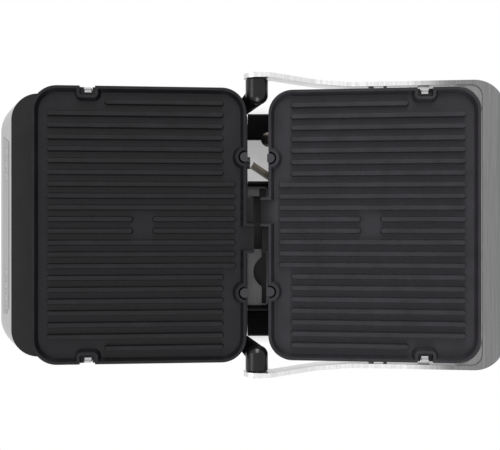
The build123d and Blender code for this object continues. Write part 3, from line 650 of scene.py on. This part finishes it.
class GRILL_OT_guards(bpy.types.Operator):
    """Add the spout guard boxes and the bosses under the plate posts"""
    bl_idname = "grill.guards"
    bl_label = "Guards and bosses"

    def execute(self, context):
        plastic = grained("guard plastic", context.scene.grill_colours.plastic, 0.42, specular=0.25)
        for body, seat in (("base", lower_seat()), ("lid", upper_seat())):
            guard = bmesh.new()
            seated_prism(guard, seat, guard_outline(), GUARD_DEPTH)
            rounded(new_piece(body + "_spout_guard", guard, plastic, body), SMALL_BEVEL)
            for number, x in enumerate((-BOSS_X, BOSS_X), start=1):
                boss = bmesh.new()
                seated_prism(boss, seat, boss_outline(x), BOSS_DEPTH)
                new_piece(body + "_post_boss_" + str(number), boss, plastic, body)
        return {"FINISHED"}


def web_outline(side):
    """The inner corner between an arm and the bar, filled to a wide curve."""
    points = [(ARM_INNER + WEB_LAP, BAR_INNER + WEB_LAP)]
    for n in range(WEB_STEPS + 1):
        a = pi / 2 * n / WEB_STEPS
        points.append((ARM_INNER - WEB_SIZE * (1 - sin(a)), BAR_INNER - WEB_SIZE * (1 - cos(a))))
    return [(side * x, y, WEB_TOP) for x, y in points]


class GRILL_OT_corner_webs(bpy.types.Operator):
    """Close the handle's inner corners round the lid's plate"""
    bl_idname = "grill.corner_webs"
    bl_label = "Handle corners"

    def execute(self, context):
        # Painted shade: the corner webs darken along Y like the handle, down to WEB_SHADE.
        metal = painted_shade_along_y(brushed("corner metal", context.scene.grill_colours.handle, 0.34, "X"), WEB_SHADE)
        for name, side in (("left", -1), ("right", 1)):
            mesh = bmesh.new()
            seated_prism(mesh, arm_seat(), web_outline(side), WEB_DEPTH)
            web = new_piece("handle_corner_" + name, mesh, metal, "frame")
            smooth_faces(web, 40)
        return {"FINISHED"}


class GRILL_OT_guide_edges(bpy.types.Operator):
    """Add the low flanges beside the tray guide's walls and the tray's ledge"""
    bl_idname = "grill.guide_edges"
    bl_label = "Guide flanges"

    def execute(self, context):
        plastic = grained("flange plastic", shade(context.scene.grill_colours.plastic, 3), 0.5, specular=0.25)
        for name, xs in FLANGES.items():
            mesh = bmesh.new()
            block(mesh, xs, (FLANGE_FRONT, FLANGE_REAR), FLANGE_TOP, FLANGE_DEPTH)
            new_piece("guide_flange_" + name, mesh, plastic, "base")
        mesh = bmesh.new()
        block(mesh, LEDGE_X, LEDGE_Y, LEDGE_TOP, LEDGE_DEPTH)
        ledge = new_piece("tray_ledge", mesh, NODES["drip_tray"].data.materials[0], "tray")
        rounded(ledge, SMALL_BEVEL)
        return {"FINISHED"}


def middle(name):
    """The middle of a CAD node's box."""
    low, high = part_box(name)
    return (Vector(low) + Vector(high)) / 2


def helix_curve(name, start, run, length, radius, wire, pitch):
    """An open coil of round wire from start along run."""
    turns = length / pitch
    steps = int(turns * COIL_STEPS)
    data = bpy.data.curves.new(name, "CURVE")
    data.dimensions = "3D"
    data.bevel_depth = wire
    data.bevel_resolution = 3
    data.resolution_u = 2
    spline = data.splines.new("NURBS")
    spline.points.add(steps)
    turn = run.to_track_quat("Z", "Y")
    for n in range(steps + 1):
        a = 2 * pi * turns * n / steps
        local = Vector((radius * cos(a), radius * sin(a), length * n / steps))
        spline.points[n].co = (*(start + turn @ local), 1)
    spline.order_u = 4
    spline.use_endpoint_u = True
    curve = linked(name, data)
    mesh = bpy.data.meshes.new_from_object(curve.evaluated_get(bpy.context.evaluated_depsgraph_get()))
    bpy.data.objects.remove(curve)
    mesh.shade_smooth()
    return linked(name, mesh)


def core_form(mesh, start, run, length):
    """The bundle of sleeved wires inside the conduit's coils."""
    turn = run.to_track_quat("Z", "Y")
    across, up = turn @ Vector((1, 0, 0)), turn @ Vector((0, 1, 0))
    places = [start + run * (length * n / CORE_STEPS) for n in range(CORE_STEPS + 1)]
    tube(mesh, [circle(mesh, place, across, up, CORE_RADIUS, CORE_STEPS) for place in places])


def bend_path():
    """Points of the bend in the upper plate's frame: out of the wall, round and down."""
    wall = BEND_WALL - BEND_REACH
    path = [Vector((BEND_X, BEND_WALL, BEND_LEVEL)), Vector((BEND_X, wall, BEND_LEVEL))]
    for n in range(1, BEND_STEPS + 1):
        a = pi / 2 * n / BEND_STEPS
        path.append(Vector((BEND_X, wall - BEND_TURN * sin(a), BEND_LEVEL - BEND_TURN * (1 - cos(a)))))
    foot = Vector((BEND_X, wall - BEND_TURN, BEND_LEVEL - BEND_TURN))
    path += [foot - Vector((0, 0, BEND_DROP * n / DROP_STEPS)) for n in range(1, DROP_STEPS + 1)]
    return path


def bend_form(mesh):
    """The corrugated end of the conduit where it bends down out of the lid's wall."""
    seat = upper_seat()
    turn = seat.to_3x3()
    path = bend_path()
    side = Vector((1, 0, 0))
    rings = []
    for n, point in enumerate(path):
        ahead = path[min(n + 1, len(path) - 1)] - path[max(n - 1, 0)]
        up = ahead.normalized().cross(side)
        size = BEND_RADIUS * (1 + BEND_SWELL * (n % 2))
        rings.append(circle(mesh, seat @ point, turn @ side, turn @ up, size, BEND_SIDES))
    tube(mesh, rings)


class GRILL_OT_conduit(bpy.types.Operator):
    """Wind the wire conduit that crosses the hinge gap, with its core and its bend under the lid"""
    bl_idname = "grill.conduit"
    bl_label = "Conduit"

    def execute(self, context):
        sizes = context.scene.grill_sizes
        metal = brushed("conduit wire", context.scene.grill_colours.spring, 0.35, "Z")
        start = middle("base_conduit_bush")
        end = middle("lid_conduit_bush")
        run = (end - start).normalized()
        first = start + run * CONDUIT_SKIP
        length = (end - start).length - 2 * CONDUIT_SKIP
        spring = helix_curve("conduit_spring", first, run, length,
                             sizes.spring_radius, sizes.spring_wire, sizes.spring_pitch)
        spring.data.materials.append(metal)
        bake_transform(spring)
        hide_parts("wire_conduit")
        mesh = bmesh.new()
        core_form(mesh, first, run, length)
        core = filled("conduit_core", mesh, NODES["cord_gland"].data.materials[0])
        smooth_faces(core, 50)
        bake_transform(core)
        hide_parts("conduit_wires")
        mesh = bmesh.new()
        bend_form(mesh)
        elbow = filled("conduit_bend", mesh, metal)
        smooth_faces(elbow, 50)
        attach(elbow, "lid")
        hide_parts("conduit_elbow")
        return {"FINISHED"}


def bar(mesh, wide, high):
    """A flat stroke about the middle of a key."""
    made = bmesh.ops.create_cube(mesh, size=1)
    bmesh.ops.scale(mesh, vec=(wide, high, MARK_THICK), verts=made["verts"])
    return made["verts"]


def wedge(mesh, size, turn):
    """A flat triangle that points up or down the panel."""
    made = bmesh.ops.create_cone(mesh, cap_ends=True, segments=3, radius1=size / 2, radius2=size / 2,
                                 depth=MARK_THICK)
    bmesh.ops.rotate(mesh, matrix=Matrix.Rotation(turn, 3, "Z"), verts=made["verts"])


def ring(mesh, size):
    """A flat ring of short strokes."""
    for n in range(RING_STEPS):
        made = bar(mesh, size * RING_PIECE[0], size * RING_PIECE[1])
        bmesh.ops.translate(mesh, vec=(size * RING_RADIUS, 0, 0), verts=made)
        bmesh.ops.rotate(mesh, matrix=Matrix.Rotation(2 * pi * n / RING_STEPS, 3, "Z"), verts=made)


def key_face(name):
    """The centre and normal of a key's outer face, from its vertices."""
    mesh = NODES[name].data
    normal = max((face.normal for face in mesh.polygons), key=lambda value: value.dot(KEY_FACING)).copy()
    reach = max(vertex.co.dot(normal) for vertex in mesh.vertices)
    top = [vertex.co for vertex in mesh.vertices if vertex.co.dot(normal) > reach - KEY_LEVEL]
    return sum(top, Vector()) / len(top), normal


def mark_form(mesh, shape, size):
    if shape in ("plus", "minus"):
        bar(mesh, size, size * STROKE)
    if shape == "plus":
        bar(mesh, size * STROKE, size)
    if shape == "ring":
        ring(mesh, size)
    if shape == "up":
        wedge(mesh, size, radians(90))
    if shape == "down":
        wedge(mesh, size, radians(-90))


def mark_key(number, shape, size, ink):
    """A plain mark lying on a key's face and riding on it."""
    name = "button_" + str(number)
    centre, normal = key_face(name)
    across = Vector((1, 0, 0))
    turn = Matrix((across, normal.cross(across), normal)).transposed().to_4x4()
    mesh = bmesh.new()
    mark_form(mesh, shape, size)
    mesh.transform(Matrix.Translation(centre + normal * MARK_THICK * MARK_SINK) @ turn)
    obj = filled("key_mark_" + str(number), mesh, ink)
    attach(obj, name + "_body")


class GRILL_OT_key_marks(bpy.types.Operator):
    """Print a plain mark on each key"""
    bl_idname = "grill.key_marks"
    bl_label = "Key marks"

    def execute(self, context):
        size = context.scene.grill_sizes.mark_size
        ink = grained("key print", context.scene.grill_colours.mark, 0.5, PRINT_GRAIN)
        for number, shape in enumerate(MARK_SHAPES, start=1):
            mark_key(number, shape, size, ink)
        return {"FINISHED"}


# Stage: floor, world, lamps and camera


def area_lamp(name, place, wide, high, power):
    """A soft lamp that faces the grill."""
    data = bpy.data.lights.new(name, "AREA")
    data.shape = "RECTANGLE"
    data.size = wide
    data.size_y = high
    data.energy = power
    lamp = linked(name, data)
    lamp.location = place
    lamp.rotation_euler = (Vector(LAMP_AIM) - Vector(place)).to_track_quat("-Z", "Y").to_euler()


def seen_rays(nodes, links):
    """One where a ray comes from the camera, a mirror or glass, else nought."""
    path = nodes.new("ShaderNodeLightPath")
    first = maths(nodes, links, "MAXIMUM", path.outputs["Is Camera Ray"], path.outputs["Is Glossy Ray"])
    return maths(nodes, links, "MAXIMUM", first, path.outputs["Is Transmission Ray"])


def outside(nodes, links, limits):
    """Nought near the middle of the floor, one beyond the limits along X and Y."""
    parts = []
    for axis, limit in zip("XY", limits):
        size = maths(nodes, links, "ABSOLUTE", place_along(nodes, links, axis))
        parts.append(spread(nodes, links, size, 0, 1, (limit, limit * GAP_FADE)))
    return maths(nodes, links, "MAXIMUM", *parts)


def floor_material():
    """A pale floor that shines to plain white round the object and stays shaded under its hinge gap."""
    made, nodes, links = new_material("pale floor")
    shader = nodes["Principled BSDF"]
    shader.inputs["Base Color"].default_value = (0.9, 0.9, 0.9, 1)
    shader.inputs["Roughness"].default_value = 0.9
    glow = nodes.new("ShaderNodeEmission")
    glow.inputs["Color"].default_value = (1, 1, 1, 1)
    level = spread(nodes, links, outside(nodes, links, GAP_LIMITS), GAP_GLOW, FLOOR_GLOW, (0, 1))
    mix = nodes.new("ShaderNodeMixShader")
    links.new(maths(nodes, links, "MULTIPLY", seen_rays(nodes, links), level), mix.inputs["Fac"])
    links.new(shader.outputs[0], mix.inputs[1])
    links.new(glow.outputs[0], mix.inputs[2])
    links.new(mix.outputs[0], nodes["Material Output"].inputs["Surface"])
    return made


def plain_world():
    """A dim even light that the camera sees as white."""
    world = bpy.data.worlds.new("plain studio")
    world.use_nodes = True
    nodes, links = world.node_tree.nodes, world.node_tree.links
    back = nodes["Background"]
    back.inputs["Color"].default_value = (1, 1, 1, 1)
    level = spread(nodes, links, seen_rays(nodes, links), WORLD_LIGHT, 1.0, (0, 1))
    links.new(level, back.inputs["Strength"])
    return world


class GRILL_OT_stage(bpy.types.Operator):
    """Set the floor, the lamps and the camera straight above"""
    bl_idname = "grill.stage"
    bl_label = "Stage"

    def execute(self, context):
        scene = context.scene
        bpy.ops.mesh.primitive_plane_add(size=FLOOR_SIZE, location=(0, 0, -FLOOR_DROP))
        floor = context.object
        floor.name = "floor"
        floor.data.materials.append(floor_material())
        scene.world = plain_world()
        area_lamp("side softbox left", (-1.2, 0.1, 0.65), 0.6, 1.4, 22)
        area_lamp("side softbox right", (1.2, 0.1, 0.65), 0.6, 1.4, 15)
        area_lamp("front softbox", (0, -1.2, 1.0), 1.2, 0.6, 7)
        data = bpy.data.cameras.new("camera")
        data.sensor_width = SENSOR_MM
        data.lens = SENSOR_MM * FOCAL_PIXELS / IMAGE_WIDTH
        camera = linked("camera", data)
        camera.location = (0, CAMERA_Y, CAMERA_HEIGHT)
        camera.rotation_euler = (0, 0, radians(90))
        scene.camera = camera
        scene.view_settings.view_transform = "Standard"
        return {"FINISHED"}


STEPS = ("plates", "housings", "metal", "edges", "knuckles", "guards", "corner_webs", "guide_edges",
         "conduit", "key_marks", "stage")


class GRILL_PT_panel(bpy.types.Panel):
    bl_label = "Grill"
    bl_idname = "GRILL_PT_panel"
    bl_space_type = "VIEW_3D"
    bl_region_type = "UI"
    bl_category = "Grill"

    def draw(self, context):
        for group in (context.scene.grill_sizes, context.scene.grill_colours):
            for name in group.__annotations__:
                self.layout.prop(group, name)
        for step in STEPS:
            self.layout.operator("grill." + step)


CLASSES = (GrillSizes, GrillColours, GRILL_OT_plates, GRILL_OT_housings, GRILL_OT_metal, GRILL_OT_edges,
           GRILL_OT_knuckles, GRILL_OT_guards, GRILL_OT_corner_webs, GRILL_OT_guide_edges,
           GRILL_OT_conduit, GRILL_OT_key_marks, GRILL_OT_stage, GRILL_PT_panel)


def register():
    for made in CLASSES:
        bpy.utils.register_class(made)
    bpy.types.Scene.grill_sizes = bpy.props.PointerProperty(type=GrillSizes)
    bpy.types.Scene.grill_colours = bpy.props.PointerProperty(type=GrillColours)


def unregister():
    del bpy.types.Scene.grill_colours
    del bpy.types.Scene.grill_sizes
    for made in reversed(CLASSES):
        bpy.utils.unregister_class(made)


def main():
    register()
    for step in STEPS:
        getattr(bpy.ops.grill, step)()


if __name__ == "__main__":
    main()
